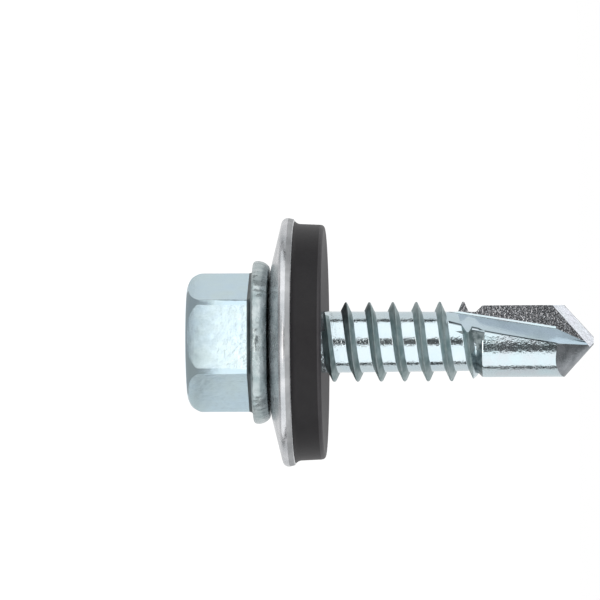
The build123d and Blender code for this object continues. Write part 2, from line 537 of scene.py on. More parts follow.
# %% [markdown]
# The spun rod is a plain one, so it is fitted to the real screw afterwards: each point is drawn in to the
# tapering core, and the ridge is held under a limit that fades it out at both ends. Then two planes cut the
# rod to length and the cuts are filled.

# %% Threaded rod
BELOW_NECK_END = 0.6
PAST_SHOULDER = 0.1


def fit_thread(bm):
    """Taper the core and fade the ridge."""
    for vert in bm.verts:
        radius = hypot(vert.co.x, vert.co.y)
        height = vert.co.z
        core = core_at(height)
        ridge = (radius - CORE_RADIUS) * (THREAD_RADIUS - core) / (THREAD_RADIUS - CORE_RADIUS)
        wanted = max(core, min(core + ridge, ridge_limit(height)))
        vert.co.x *= wanted / radius
        vert.co.y *= wanted / radius


def cut_rod(bm, height, outwards):
    """Cut the rod off at a height and close it. outwards is 1 above and -1 below."""
    cut_away(bm, (0, 0, height), (0, 0, outwards))
    rim = [edge for edge in bm.edges if edge.is_boundary and abs(edge.verts[0].co.z - height) < 1e-3]
    bmesh.ops.edgeloop_fill(bm, edges=rim)


def threaded_rod():
    bm = bmesh.new()
    spin_thread(bm)
    fit_thread(bm)
    cut_rod(bm, NECK_END_Z - BELOW_NECK_END, -1)
    cut_rod(bm, DRILL_FULL_Z + PAST_SHOULDER, 1)
    clean(bm)
    return make_object("rod", bm)


rod = threaded_rod()
count(rod)

# %% [markdown]
# Under the flange the wire keeps its full thickness, where the washer turns, and then narrows to the
# thread's core in a short cone. Its slope is carried on inside the core, so the union has no two surfaces
# that touch without crossing.

# %% Neck and its taper
NECK_SUNK = 0.3
NECK_TAIL = 0.8
NECK_ROUND = 0.2
neck_slope = (NECK_RADIUS - CORE_RADIUS) / NECK_TAPER
neck = lathe(
    "neck",
    [
        (0, BEARING_Z - NECK_SUNK),
        (NECK_RADIUS, BEARING_Z - NECK_SUNK),
        (NECK_RADIUS, NECK_END_Z),
        (NECK_RADIUS - neck_slope * NECK_TAIL, NECK_END_Z + NECK_TAIL),
        (0, NECK_END_Z + NECK_TAIL),
    ],
    {2: NECK_ROUND},
    steps=TURN_STEPS,
)
combine(rod, neck, "UNION")
count(rod)

# %% [markdown]
# The drill point is a short cylinder. Behind each lip its end is backed off, so that only the lip touches
# the sheet: each flank belongs to a cone whose axis leans away from the lip. Half a leaning cone
# and the same half turned round by 180 degrees share one flat side, and weld into one closed tool.

# %% The two flanks
FLANK_DEPTH = 12


def leaning_cones():
    """Two half cones, each leaning away from its lip."""
    bm = bmesh.new()
    lean = Matrix.Translation((0, 0, APEX_Z)) @ Matrix.Rotation(LIP_RELIEF, 4, "X")
    bmesh.ops.create_cone(
        bm,
        cap_ends=True,
        cap_tris=False,
        segments=192,
        radius1=FLANK_DEPTH * tan(POINT_HALF_ANGLE),
        radius2=0,
        depth=FLANK_DEPTH,
        matrix=lean @ Matrix.Translation((0, 0, -FLANK_DEPTH / 2)),
    )
    bmesh.ops.remove_doubles(bm, verts=bm.verts, dist=1e-4)
    cut_away(bm, (0, 0, 0), (0, 1, 0))
    twin = bmesh.ops.duplicate(bm, geom=bm.verts[:] + bm.edges[:] + bm.faces[:])["geom"]
    bmesh.ops.rotate(
        bm,
        verts=[item for item in twin if isinstance(item, bmesh.types.BMVert)],
        cent=(0, 0, 0),
        matrix=Matrix.Rotation(pi, 3, "Z"),
    )
    clean(bm, 1e-3)
    return make_object("leaning_cones", bm)


# %% [markdown]
# The blank itself is turned, with a short shoulder where it grows out of the core. A land isn't quite
# round: behind the margin that guides the drill in its hole it is drawn in by a third of a millimetre.
# The amount depends on the angle alone, so moving the points of the turned blank is enough.

# %% Blank of the drill, with its relieved lands
DRILL_SUNK = 0.2
SHOULDER_ROUND = 0.10
SKIN = 0.2
LAND_RELIEF = 0.34
RELIEF_RISES_FROM = -75
RELIEF_RISE = 40
RELIEF_MIDDLE = -20
RELIEF_FALLS_FROM = -8
RELIEF_FALL = 53
shoulder_slope = (DRILL_RADIUS - CORE_END_RADIUS) / (DRILL_FULL_Z - DRILL_START_Z)
drill = lathe(
    "drill",
    [
        (0, DRILL_START_Z - DRILL_SUNK),
        (CORE_END_RADIUS - DRILL_SUNK * shoulder_slope, DRILL_START_Z - DRILL_SUNK),
        (DRILL_RADIUS, DRILL_FULL_Z),
        (DRILL_RADIUS, TIP_Z),
        (0, TIP_Z),
    ],
    {2: SHOULDER_ROUND},
    steps=TURN_STEPS,
)


def smooth(value):
    """Ease from 0 to 1 without a corner at either end."""
    value = min(1, max(0, value))
    return value * value * (3 - 2 * value)


def relieve_lands(bm):
    """Draw the skin in behind each margin. Angles are in degrees, and repeat after half a turn."""
    for vert in bm.verts:
        if hypot(vert.co.x, vert.co.y) < DRILL_RADIUS - SKIN:
            continue
        turn = (degrees(atan2(vert.co.x, -vert.co.y)) + 90) % 180 - 90
        rising = smooth((turn - RELIEF_RISES_FROM) / RELIEF_RISE)
        falling = 1 - smooth((turn - RELIEF_FALLS_FROM) / RELIEF_FALL)
        share = falling if turn > RELIEF_MIDDLE else rising
        scale = 1 - LAND_RELIEF * share / DRILL_RADIUS
        vert.co.x *= scale
        vert.co.y *= scale


edit(drill, relieve_lands)
combine(drill, leaning_cones(), "INTERSECT")
count(drill)


# %% [markdown]
# The blank is pinched between two dies, and its trailing side climbs out of the core along a ramp.
# A sector of a disc, cut by one slanting plane, is that ramp.

# %% Ramps at the foot of the drill
RAMP_STEPS = 16
RAMP_MARGIN = 0.2


def on_circle(radius, angle, height):
    return Vector((radius * cos(angle), radius * sin(angle), height))


def turned_tool(name, bm, turn):
    """Turn a tool to its side of the drill and make it an object."""
    bmesh.ops.rotate(bm, verts=bm.verts, cent=(0, 0, 0), matrix=Matrix.Rotation(turn, 3, "Z"))
    clean(bm)
    return make_object(name, bm)


def ramp_plane():
    """Foot and outward direction of the first ramp's slanting plane."""
    foot = on_circle(CORE_END_RADIUS, RAMP_START_ANGLE, DRILL_FULL_Z - RAMP_LENGTH)
    end = on_circle(CORE_END_RADIUS, RAMP_END_ANGLE, DRILL_START_Z)
    top = on_circle(DRILL_RADIUS, RAMP_START_ANGLE, DRILL_FULL_Z)
    return foot, (end - foot).cross(top - foot).normalized()


def ramp(turn):
    """Sector of a disc under the slanting plane, turned to its side of the drill."""
    foot, outwards = ramp_plane()
    bm = bmesh.new()
    centre = bm.verts.new((0, 0, foot.z))
    start = bm.verts.new(on_circle(DRILL_RADIUS, RAMP_START_ANGLE, foot.z))
    spoke = bm.edges.new((centre, start))
    spin(bm, [centre, start, spoke], RAMP_END_ANGLE - RAMP_START_ANGLE, RAMP_STEPS)
    clean(bm)
    push(bm, (0, 0, RAMP_LENGTH + RAMP_MARGIN))
    cut_away(bm, foot, outwards)
    bmesh.ops.holes_fill(bm, edges=[edge for edge in bm.edges if edge.is_boundary])
    return turned_tool("ramp", bm, turn)


BOTH_SIDES = (0, pi)
for turn in BOTH_SIDES:
    combine(drill, ramp(turn), "UNION")
count(drill)
combine(rod, drill, "UNION")
count(rod)


# %% [markdown]
# A flute is a wedge-shaped cut: a flat side in which the lip lies, a leaning wall, and a round bottom that
# climbs towards the tip. Near the tip a steeper second cut, the gash, thins the web. Both cutters are
# one drawn section pushed along the flute's sloping bottom line.

# %% Cutter of a flute and of a gash
PAST_TIP = 1
web_slope = (FLUTE_START_WEB - FLUTE_CORNER_WEB) / (CORNER_Z - DRILL_START_Z)


def wedge(name, bottom, height, slope, bottom_round, turn):
    """Wedge whose bottom line starts at a height and nears the axis by the slope."""
    bm = bmesh.new()
    reach = 2 * DRILL_RADIUS
    outline = [
        (bottom, WEB_HALF),
        (bottom + reach, WEB_HALF),
        (bottom + reach, WEB_HALF + reach),
        (bottom - tan(FLUTE_WALL_ANGLE) * reach, WEB_HALF + reach),
    ]
    corners = [bm.verts.new((x, y, height)) for x, y in outline]
    bm.faces.new(corners)
    if bottom_round:
        round_corners(bm, [corners[0]], bottom_round * tan((pi / 2 - FLUTE_WALL_ANGLE) / 2), 8)
    length = TIP_Z - height + PAST_TIP
    push(bm, (-slope * length, 0, length))
    return turned_tool(name, bm, turn)


# %% [markdown]
# A narrow bevel runs along each lip. Its cutter is a slab that leans by ten degrees and follows the lip
# from outside the corner to past the tip.

# %% Cutter of the lip's bevel
LIP_MARGIN = 0.3


def lip_cutter(turn):
    """Slab that takes the bevel off one lip."""
    along = Vector((-sin(POINT_HALF_ANGLE), 0, cos(POINT_HALF_ANGLE)))
    across = Vector((cos(POINT_HALF_ANGLE), 0, sin(POINT_HALF_ANGLE)))
    start = Vector((DRILL_RADIUS, WEB_HALF, CORNER_Z)) - along
    depth = (LIP_FACE_WIDTH + LIP_MARGIN) * tan(LIP_FACE_TILT)
    bm = bmesh.new()
    lift = Vector((0, LIP_MARGIN, 0))
    inner = start - across * LIP_FACE_WIDTH
    outer = start + across * LIP_MARGIN
    outline = (inner, outer - Vector((0, depth, 0)), outer + lift, inner + lift)
    corners = [bm.verts.new(point) for point in outline]
    bm.faces.new(corners)
    push(bm, along * 2 * DRILL_RADIUS)
    return turned_tool("lip_cutter", bm, turn)


# %% Cut both sides
flute_low = DRILL_START_Z - FLUTE_LEAD_IN
flute_x = FLUTE_START_WEB + web_slope * FLUTE_LEAD_IN
gash_low = CORNER_Z - GASH_ABOVE_CORNER
gash_x = FLUTE_CORNER_WEB + web_slope * GASH_ABOVE_CORNER
for turn in BOTH_SIDES:
    for cutter in (
        wedge("flute", flute_x, flute_low, web_slope, FLUTE_ROUND, turn),
        wedge("gash", gash_x, gash_low, tan(GASH_ANGLE), 0, turn),
        lip_cutter(turn),
    ):
        combine(rod, cutter, "DIFFERENCE")
        count(rod)

# %% [markdown]
# Head, shank and drill are one forging, so they become one closed mesh. The rod starts inside the flange,
# and the union removes what is hidden there.

# %% Join the shank to the head
combine(head, rod, "UNION")
count(head)

# %% [markdown]
# Smooth shading makes the round surfaces round. An edge that is steeper than the crease angle stays sharp,
# and weighted normals keep the large flat faces flat up to the small roundings beside them.

# %% Move the finished meshes to metres and shade them
CREASE = radians(24)
FLAT_WEIGHT = 80


def finish_mesh(bm):
    """Scale to metres and shade smoothly, but for edges steeper than the crease angle."""
    clean(bm)
    for face in bm.faces:
        face.smooth = True
    for edge in bm.edges:
        edge.smooth = not edge.is_manifold or edge.calc_face_angle(0) < CREASE
    bmesh.ops.scale(bm, vec=(MM, MM, MM), verts=bm.verts)


for piece in (head, steel_plate, seal_ring):
    edit(piece, finish_mesh)
    flat = piece.modifiers.new("flat faces stay flat", "WEIGHTED_NORMAL")
    flat.keep_sharp = True
    flat.weight = FLAT_WEIGHT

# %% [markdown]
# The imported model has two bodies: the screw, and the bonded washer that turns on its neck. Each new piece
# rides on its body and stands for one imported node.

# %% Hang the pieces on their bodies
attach(head, "screw")
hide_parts("screw")
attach(steel_plate, "washer")
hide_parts("steel_washer")
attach(seal_ring, "washer")
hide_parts("rubber_seal")

# %% [markdown]
# A finish is a tree of nodes. These helpers keep the trees readable. The first ones add a node with its
# settings, and the map from object coordinates in millimetres, on which every pattern lies. Object
# coordinates move with the piece, so nothing slides over it when the washer turns.

# %% Nodes and places
def new_material(name, empty=False):
    """Material and its tree, which is empty or holds the usual shader."""
    material = bpy.data.materials.new(name)
    material.use_nodes = True
    if empty:
        material.node_tree.nodes.clear()
    return material, material.node_tree


def add_node(tree, kind, **inputs):
    """Add a node. An underscore in a setting's name stands for a space."""
    made = tree.nodes.new(kind)
    for key, value in inputs.items():
        made.inputs[key.replace("_", " ")].default_value = value
    return made


def millimetres(tree, stretch=(1, 1, 1)):
    """Object coordinates in millimetres, stretched along each axis."""
    place = tree.nodes.new("ShaderNodeTexCoord")
    scaling = tree.nodes.new("ShaderNodeMapping")
    scaling.inputs["Scale"].default_value = [factor / MM for factor in stretch]
    tree.links.new(place.outputs["Object"], scaling.inputs["Vector"])
    return scaling.outputs["Vector"]


def noise(tree, vector, scale, detail=3.0, rough=0.55):
    """Soft clouds. scale is their number in a millimetre."""
    made = add_node(tree, "ShaderNodeTexNoise", Scale=scale, Detail=detail, Roughness=rough)
    tree.links.new(vector, made.inputs["Vector"])
    return made.outputs["Fac"]


# %% Numbers along a tree
NOISE_LOW = 0.3
NOISE_HIGH = 0.7


def map_range(tree, value, low, high, to_low=0, to_high=1):
    """Stretch low..high to to_low..to_high and clamp it. to_low is a number or a socket."""
    made = tree.nodes.new("ShaderNodeMapRange")
    for key, end in (("From Min", low), ("From Max", high), ("To Min", to_low), ("To Max", to_high)):
        if isinstance(end, bpy.types.NodeSocket):
            tree.links.new(end, made.inputs[key])
        else:
            made.inputs[key].default_value = end
    tree.links.new(value, made.inputs["Value"])
    return made.outputs["Result"]


def math_node(tree, how, first, second=None):
    """Math node. first and second are sockets, or second is a number."""
    made = tree.nodes.new("ShaderNodeMath")
    made.operation = how
    tree.links.new(first, made.inputs[0])
    if isinstance(second, (int, float)):
        made.inputs[1].default_value = second
    elif second is not None:
        tree.links.new(second, made.inputs[1])
    return made.outputs["Value"]


# %% Colours and bumps
def ramp_between(tree, value, stops):
    """Colour ramp. stops is a list of (position, colour)."""
    made = tree.nodes.new("ShaderNodeValToRGB")
    elements = made.color_ramp.elements
    for number, (position, colour) in enumerate(stops):
        element = elements[number] if number < 2 else elements.new(position)
        element.position = position
        element.color = (*colour, 1)
    tree.links.new(value, made.inputs["Fac"])
    return made.outputs["Color"]


def bump(tree, height, depth, below=None):
    """Bump of a real depth in millimetres."""
    made = add_node(tree, "ShaderNodeBump", Strength=1, Distance=depth * MM)
    tree.links.new(height, made.inputs["Height"])
    if below:
        tree.links.new(below, made.inputs["Normal"])
    return made.outputs["Normal"]


# %% [markdown]
# Where a flute's wall breaks through the round surface, the finish paints a thin dark line of shade. A bevel
# there would be finer than the picture can show, so the shade is painted instead. It knows where the
# wall's plane is, and darkens what lies within a tenth of a millimetre of it.

# %% Painted shade beside the flutes
SHADE_LINE_WIDTH = 0.12
SHADE_LINE_LOW_Z = 20.3
EDGE_SHADE_DARK = (0.07, 0.09, 0.10)


def wall_normal(slope):
    """Direction of a flute's leaning wall, whose bottom line climbs with the slope."""
    return Vector((1, tan(FLUTE_WALL_ANGLE), slope)).normalized()


def near_painted_shade_line(tree, plain):
    """1 on the line where a flute's wall breaks through the surface, 0 elsewhere."""
    normal = wall_normal(web_slope)
    place = tree.nodes.new("ShaderNodeSeparateXYZ")
    tree.links.new(plain, place.inputs["Vector"])
    across = tree.nodes.new("ShaderNodeVectorMath")
    across.operation = "DOT_PRODUCT"
    across.inputs[1].default_value = (normal.x, normal.y, 0)
    tree.links.new(plain, across.inputs[0])
    own_side = math_node(tree, "SIGN", place.outputs["Y"])
    depth = math_node(tree, "MULTIPLY", across.outputs["Value"], own_side)
    depth = math_node(tree, "ADD", depth, math_node(tree, "MULTIPLY", place.outputs["Z"], normal.z))
    depth = math_node(tree, "SUBTRACT", depth, Vector((flute_x, WEB_HALF, flute_low)).dot(normal))
    line = map_range(tree, math_node(tree, "ABSOLUTE", depth), SHADE_LINE_WIDTH, SHADE_LINE_WIDTH / 2)
    above = math_node(tree, "GREATER_THAN", place.outputs["Z"], SHADE_LINE_LOW_Z)
    return math_node(tree, "MULTIPLY", line, above)


print("seam: the wall's plane faces", [round(c, 2) for c in wall_normal(web_slope)])


# %% [markdown]
# Bright zinc plating is a thin metal skin with a blue or green cast, and it shows how the steel below was
# worked: drawn streaks on the hexagon, dents in the flange, fine grain where dies pinched the point. So
# one recipe makes them all, from two close tints in soft clouds, a range of roughness, and bumps of real
# depth in millimetres.

# %% Zinc plating
CLOUD_STOPS = (0.36, 0.64)
ROUGHNESS_CLOUDS = 1.7
STREAKS = 9
STREAK_STRETCH = (1, 1, 0.12)


def tint(tree, plain, tints, cloud_scale, shade_line):
    """Two tints in soft clouds, and a line of painted shade where the finish reaches a flute's wall."""
    cloud = noise(tree, plain, cloud_scale, detail=4)
    colour = ramp_between(tree, cloud, list(zip(CLOUD_STOPS, tints)))
    if not shade_line:
        return colour
    # Painted shade: a dark line along each flute's wall.
    darken = tree.nodes.new("ShaderNodeMix")
    darken.data_type = "RGBA"
    tree.links.new(near_painted_shade_line(tree, plain), darken.inputs["Factor"])
    tree.links.new(colour, darken.inputs["A"])
    darken.inputs["B"].default_value = (*EDGE_SHADE_DARK, 1)
    return darken.outputs["Result"]


def zinc(name, tints, rough, cloud_scale=0.55, grain=None, streak=0, waves=None, shade_line=False):
    """Plated steel. rough is a low and a high roughness; grain and waves are a scale and a depth in mm."""
    material, tree = new_material(name)
    shader = tree.nodes["Principled BSDF"]
    shader.inputs["Metallic"].default_value = 1
    plain = millimetres(tree)
    tree.links.new(tint(tree, plain, tints, cloud_scale, shade_line), shader.inputs["Base Color"])
    patches = noise(tree, plain, ROUGHNESS_CLOUDS)
    tree.links.new(map_range(tree, patches, NOISE_LOW, NOISE_HIGH, *rough), shader.inputs["Roughness"])
    normal = None
    for pattern in (waves, grain):
        if pattern:
            scale, depth = pattern
            normal = bump(tree, noise(tree, plain, scale, detail=2), depth, normal)
    if streak:
        normal = bump(tree, noise(tree, millimetres(tree, STREAK_STRETCH), STREAKS), streak, normal)
    if normal:
        tree.links.new(normal, shader.inputs["Normal"])
    return material


# %% [markdown]
# The names say where each tint is seen. A forged and plated part is palest where it is polished by the
# dies, and darkest where it was pinched or sheared. The root's and the crest's dark tints are painted shade.

# %% Tints of the steel
BLUISH = (0.52, 0.66, 0.74)
GREENISH = (0.54, 0.67, 0.71)
CORE_BLUE = (0.56, 0.67, 0.72)
CORE_PALE = (0.60, 0.69, 0.72)
FLANGE_DARK = (0.32, 0.39, 0.40)
FLANGE_PALE = (0.50, 0.56, 0.57)
ROOT_SHADE_DARK = (0.06, 0.075, 0.08)
ROOT_SHADE_PALE = (0.11, 0.135, 0.14)
RIDGE_TEAL = (0.26, 0.34, 0.345)
RIDGE_PALE = (0.42, 0.49, 0.50)
CREST_SHADE_TEAL = (0.13, 0.18, 0.185)
CREST_SHADE_PALE = (0.20, 0.25, 0.26)
NEUTRAL = (0.55, 0.61, 0.65)
LILAC = (0.70, 0.72, 0.78)
LILAC_PALE = (0.68, 0.73, 0.77)
RAKE_DARK = (0.38, 0.40, 0.43)
RAKE_PALE = (0.46, 0.48, 0.51)
FLANK_DARK = (0.20, 0.22, 0.235)
FLANK_PALE = (0.33, 0.35, 0.375)
FLUTE_BLUE = (0.54, 0.66, 0.74)
FLUTE_TEAL = (0.50, 0.62, 0.66)
PINCHED_DARK = (0.06, 0.08, 0.085)
PINCHED_PALE = (0.19, 0.23, 0.24)
SHEET_DARK = (0.43, 0.45, 0.47)
SHEET_LIGHT = (0.60, 0.61, 0.63)
SHEAR_DARK = (0.30, 0.31, 0.32)
SHEAR_LIGHT = (0.42, 0.43, 0.44)

# %% [markdown]
# Now each way of working the steel gets its own finish. The head is polished by the die, with waves and
# drawn streaks. The flange was squeezed out and is dented and patchy. The core is the smoothest, and
# the ridge, rolled up out of it, is matt. The pinched faces of the drill are dark and uneven.

# %% Finishes of the head and the thread
zinc_head = zinc(
    "zinc_head", (BLUISH, GREENISH), (0.19, 0.25), waves=(2.5, 0.011), streak=0.0048
)
# The root's fillet is painted near black: painted shade in the groove under the flats.
zinc_root_painted_shade = zinc("zinc_root_painted_shade", (ROOT_SHADE_DARK, ROOT_SHADE_PALE), (0.28, 0.36))
zinc_flange = zinc(
    "zinc_flange", (FLANGE_DARK, FLANGE_PALE), (0.24, 0.34),
    cloud_scale=0.9, waves=(1.1, 0.10), grain=(5, 0.016),
)
zinc_core = zinc("zinc_core", (CORE_BLUE, CORE_PALE), (0.12, 0.16), grain=(4.5, 0.018), shade_line=True)
zinc_ridge = zinc(
    "zinc_ridge", (RIDGE_TEAL, RIDGE_PALE), (0.46, 0.56), cloud_scale=1.3, grain=(4, 0.012)
)
# The crest's tints are much darker than the ridge's: painted shade that holds down the lamps' highlight
# along the crest.
zinc_crest_painted_shade = zinc(
    "zinc_crest_painted_shade", (CREST_SHADE_TEAL, CREST_SHADE_PALE), (0.48, 0.58), cloud_scale=1.3, grain=(4, 0.012)
)

# %% Finishes of the drill point
zinc_drill = zinc("zinc_drill", (NEUTRAL, GREENISH), (0.13, 0.18), grain=(4.5, 0.024), shade_line=True)
zinc_round = zinc("zinc_round", (NEUTRAL, GREENISH), (0.13, 0.18))
zinc_rake = zinc("zinc_rake", (RAKE_DARK, RAKE_PALE), (0.15, 0.20), grain=(4.5, 0.038))
zinc_point = zinc("zinc_point", (LILAC, LILAC_PALE), (0.20, 0.26), grain=(5, 0.006))
zinc_flank = zinc(
    "zinc_flank", (FLANK_DARK, FLANK_PALE), (0.24, 0.32), cloud_scale=1.4, grain=(4.5, 0.016)
)
zinc_flute = zinc(
    "zinc_flute", (FLUTE_BLUE, FLUTE_TEAL), (0.14, 0.20), cloud_scale=0.4, grain=(3, 0.006)
)
zinc_pinched = zinc(
    "zinc_pinched", (PINCHED_DARK, PINCHED_PALE), (0.30, 0.40),
    cloud_scale=2.2, grain=(4.5, 0.030), shade_line=True,
)

# %% Finishes of the washer
galvanised = zinc("galvanised_sheet", (SHEET_DARK, SHEET_LIGHT), (0.24, 0.30), grain=(6, 0.002))
sheared = zinc("sheared_edge", (SHEAR_DARK, SHEAR_LIGHT), (0.50, 0.60), grain=(5, 0.01))

# %% [markdown]
# The seal is matt black rubber. Its face was pressed against the mould and shines a little more than its
# side, so there are two finishes with a fine grain. The face's finish is also paler: that part is painted
# sheen.

# %% Moulded rubber
RUBBER_CLOUDS = 1.3
RUBBER_ROUGHNESS = 0.50
RUBBER_GRAIN = (7, 0.01)


def rubber(name, tints, sheen):
    """Moulded rubber. sheen is its specular level."""
    material, tree = new_material(name)
    shader = tree.nodes["Principled BSDF"]
    plain = millimetres(tree)
    stops = list(zip((NOISE_LOW, NOISE_HIGH), tints))
    tree.links.new(ramp_between(tree, noise(tree, plain, RUBBER_CLOUDS), stops), shader.inputs["Base Color"])
    shader.inputs["Roughness"].default_value = RUBBER_ROUGHNESS
    shader.inputs["Specular IOR Level"].default_value = sheen
    scale, depth = RUBBER_GRAIN
    tree.links.new(bump(tree, noise(tree, plain, scale), depth), shader.inputs["Normal"])
    return material


SIDE_BLACK = ((0.006, 0.005, 0.007), (0.010, 0.009, 0.011))
# The face's black is paler than the side's: painted sheen.
FACE_BLACK_WITH_PAINTED_SHEEN = ((0.020, 0.018, 0.022), (0.032, 0.029, 0.034))
rubber_side = rubber("seal_rubber", SIDE_BLACK, 0.32)
rubber_face_with_painted_sheen = rubber("seal_rubber_face", FACE_BLACK_WITH_PAINTED_SHEEN, 0.55)


# %% [markdown]
# One mesh can carry many finishes, one for each face. Each face says by its place and its direction which
# tool made it: faces along a flute's wall are the flute's, steep ones near the tip are the flanks, and
# what is far from the axis and upright is the thread's crest.

# %% Directions that tell the cuts apart
SLIGHT = 0.02
ALONG = 0.998
wall_normals = [wall_normal(web_slope), wall_normal(tan(GASH_ANGLE))]
ramp_normal = ramp_plane()[1]


def along_any(normal, directions):
    """Whether a normal lies along one of the directions, or along one turned by 180 degrees."""
    twin = Vector((-normal.x, -normal.y, normal.z))
    return any(abs(direction.dot(way)) > ALONG for direction in directions for way in (normal, twin))


def on_ramp(at, normal):
    """Whether a face is part of a ramp, or of the shoulder beside it."""
    return along_any(normal, [ramp_normal]) or (at.z > DRILL_START_Z and normal.z < -0.3)


# %% Finish of a face, from its place in millimetres and its direction
def finish_of_head(at, radius, steep):
    """Up to the bearing face. None above it."""
    # The fillet at the hexagon's root gets painted shade.
    at_painted_root_shade = HEX_HEIGHT - ROOT_FILLET < at.z < HEX_HEIGHT + SLIGHT / 2 and radius < 6
    if at_painted_root_shade and steep > 0.12:
        return zinc_root_painted_shade
    if at.z < HEX_HEIGHT - SLIGHT:
        return zinc_head
    return zinc_flange if at.z < BEARING_Z + 0.05 else None


def finish_of_drill(at, normal, radius, steep):
    """From the flutes' start to the tip. None where the shank's own finishes hold."""
    near_point = at.z > CORNER_Z - 0.4
    fluted = at.z > flute_low
    upright = abs(normal.y)
    if near_point and 0.97 < upright < 0.995 and steep > 0.1:
        return zinc_point
    if fluted and along_any(normal, wall_normals):
        return zinc_flute
    if near_point and steep > 0.5:
        return zinc_flank
    beside_ramp = DRILL_FULL_Z - RAMP_LENGTH - 0.1 < at.z < DRILL_FULL_Z
    if beside_ramp and radius > CORE_END_RADIUS - SLIGHT and on_ramp(at, normal):
        return zinc_pinched
    if fluted and upright > 0.995 and abs(at.y) < WEB_HALF + SLIGHT:
        return zinc_rake
    if flute_low < at.z < CORNER_Z and radius < CORE_END_RADIUS - 0.03:
        return zinc_round
    return zinc_drill if at.z > DRILL_START_Z - DRILL_SUNK else None


def finish_of_thread(at, radius, steep):
    """What is left: the crest, the ridge's flanks and the core."""
    # The crest's finish is painted shade.
    if radius > 2.85 and steep < 0.4:
        return zinc_crest_painted_shade
    return zinc_ridge if steep > 0.4 and radius > core_at(at.z) + 0.03 else zinc_core


def finish_at(at, normal):
    radius = hypot(at.x, at.y)
    steep = abs(normal.z)
    return (
        finish_of_head(at, radius, steep)
        or finish_of_drill(at, normal, radius, steep)
        or finish_of_thread(at, radius, steep)
    )


# %% Give each stretch of the screw its finish
finishes = (
    zinc_head,
    zinc_root_painted_shade,
    zinc_flange,
    zinc_core,
    zinc_ridge,
    zinc_crest_painted_shade,
    zinc_drill,
    zinc_round,
    zinc_rake,
    zinc_point,
    zinc_flank,
    zinc_flute,
    zinc_pinched,
)
for material in finishes:
    head.data.materials.append(material)
for face in head.data.polygons:
    face.material_index = finishes.index(finish_at(face.center / MM, face.normal))


def keep_lip_sharp(bm):
    """The bevel along a lip leans so little that smooth shading would blend it with the face beside it."""
    lip = finishes.index(zinc_point)
    for edge in bm.edges:
        numbers = {face.material_index for face in edge.link_faces}
        if lip in numbers and len(numbers) > 1:
            edge.smooth = False


edit(head, keep_lip_sharp)
for number, material in enumerate(finishes):
    print(material.name, sum(face.material_index == number for face in head.data.polygons), "faces")

# %% [markdown]
# The washer shows two surfaces: the pressed sheet, and the edge where the blanking die sheared it, which is
# darker and rough. The seal shows its side, and the face that lay against the mould, whose paler finish is
# painted sheen that reaches over the rim's rounding.

# %% Give the washer and the seal their finishes
SHEAR_LOW_Z = 7.85
SEAL_FACE_LOW_Z = 9.9
steel_plate.data.materials.append(galvanised)
steel_plate.data.materials.append(sheared)
for face in steel_plate.data.polygons:
    outwards = face.normal.x * face.center.x + face.normal.y * face.center.y
    at_edge = outwards > 0.80 * hypot(face.center.x, face.center.y)
    face.material_index = at_edge and face.center.z / MM > SHEAR_LOW_Z
seal_ring.data.materials.append(rubber_side)
seal_ring.data.materials.append(rubber_face_with_painted_sheen)
for face in seal_ring.data.polygons:
    # Faces of the rim's rounding that lean up also get the face's painted sheen.
    face.material_index = face.normal.z > 0.15 and face.center.z / MM > SEAL_FACE_LOW_Z
for piece in (steel_plate, seal_ring):
    second = sum(face.material_index for face in piece.data.polygons)
    print(piece.name, second, "faces in its second finish")

# %% [markdown]
# In a catalogue picture the backdrop is pure white, but metal under so much white light would have no
# shape. Light Path tells the rays apart: the camera sees white, gloss sees it a little darker, and
# rays that only carry light see next to nothing, so the lamps alone light the screw.

# %% What a ray is for
def seen_rays(tree, gloss, light=0):
    """Strength 1 for the camera's rays, one for gloss and glass, and one for rays that only carry light."""
    path = tree.nodes.new("ShaderNodeLightPath")
    shiny = math_node(tree, "MAXIMUM", path.outputs["Is Glossy Ray"], path.outputs["Is Transmission Ray"])
    unseen = map_range(tree, shiny, 0, 1, light, gloss)
    return map_range(tree, path.outputs["Is Camera Ray"], 0, 1, unseen, 1)


# %% [markdown]
# The floor is pale paper that glows white for the camera. Its own colour still takes the lamps' light, so
# the screw's shadow stays. The glow rises slowly from the middle outwards, so no horizon shows.

# %% Floor
FLOOR_HALF = 4
PAPER = (0.45, 0.45, 0.45, 1)
FLOOR_GLOSS = 0.8
GLOW_FROM = (60, 500)
GLOW_TO = (0.90, 1)


def floor_sheet():
    """Sheet of eight metres, whose glow depends on the distance from the screw in millimetres."""
    bm = bmesh.new()
    bmesh.ops.create_grid(bm, x_segments=1, y_segments=1, size=FLOOR_HALF)
    sheet = make_object("floor", bm)
    material, tree = new_material("floor_paper", empty=True)
    out = tree.nodes.new("ShaderNodeOutputMaterial")
    paper = add_node(tree, "ShaderNodeBsdfDiffuse", Color=PAPER)
    glow = tree.nodes.new("ShaderNodeEmission")
    tree.links.new(seen_rays(tree, FLOOR_GLOSS), glow.inputs["Strength"])
    reach = tree.nodes.new("ShaderNodeVectorMath")
    reach.operation = "LENGTH"
    tree.links.new(millimetres(tree), reach.inputs[0])
    pale = map_range(tree, reach.outputs["Value"], *GLOW_FROM, *GLOW_TO)
    tree.links.new(pale, glow.inputs["Color"])
    both = tree.nodes.new("ShaderNodeAddShader")
    tree.links.new(paper.outputs["BSDF"], both.inputs[0])
    tree.links.new(glow.outputs["Emission"], both.inputs[1])
    tree.links.new(both.outputs["Shader"], out.inputs["Surface"])
    sheet.data.materials.append(material)
    return sheet


floor = floor_sheet()
print(floor.name, "is", 2 * FLOOR_HALF, "m wide")

# %% [markdown]
# The world is what lies beyond the floor: white for the camera, a little darker for gloss, and next to
# nothing as light.

